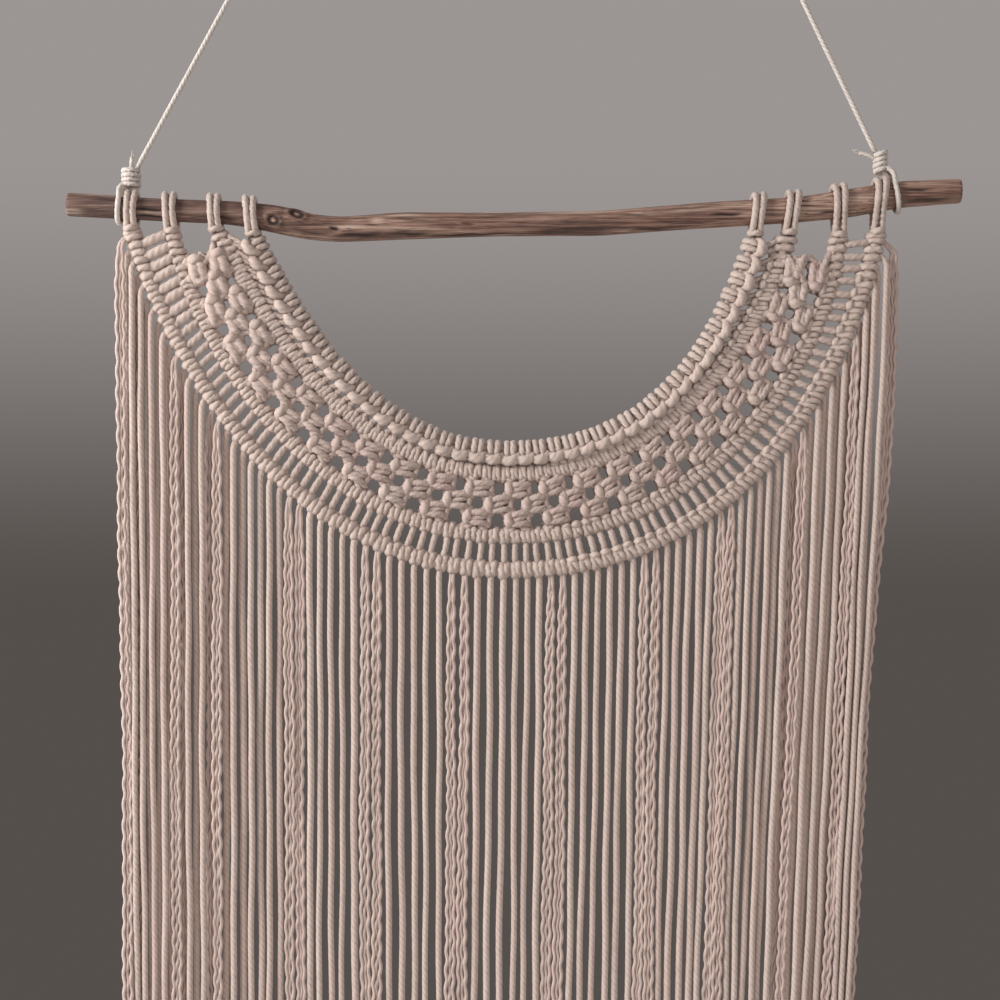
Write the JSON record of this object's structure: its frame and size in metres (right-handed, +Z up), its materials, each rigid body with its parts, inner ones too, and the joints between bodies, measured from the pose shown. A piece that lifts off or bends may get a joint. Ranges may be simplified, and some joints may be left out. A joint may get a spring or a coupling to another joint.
{
  "type": "macrame wall hanging on a wooden branch",
  "caption": "Macrame wall hanging: a crescent of knotted cotton cord with a long straight fringe, carried by cord loops on a crooked branch with a hanging cord.",
  "frame": {"origin": "under the bend of the hanging cord, where a nail or hook bears", "axes": "+Z up, +X to the right as seen from the front, -Y towards the viewer"},
  "size_m": [0.4777, 0.0218, 0.8992],
  "materials": {
    "driftwood": "weathered bare wood",
    "knotted_cotton": "matt three-ply cotton cord, tightly knotted",
    "hanging_cotton": "matt three-ply cotton cord, hanging free",
    "loop_cotton": "matt three-ply cotton cord",
    "cord_cotton": "matt twisted cotton cord"
  },
  "bodies": {
    "root": {"branch": "driftwood", "collar": "knotted_cotton", "fringe": "hanging_cotton", "loop_left_1": "loop_cotton", "loop_left_2": "loop_cotton", "loop_left_3": "loop_cotton", "loop_left_4": "loop_cotton", "loop_right_1": "loop_cotton", "loop_right_2": "loop_cotton", "loop_right_3": "loop_cotton", "loop_right_4": "loop_cotton", "tie_knot_left": "cord_cotton", "tie_knot_right": "cord_cotton", "hanging_cord": "cord_cotton"}
  },
  "joints": []
}
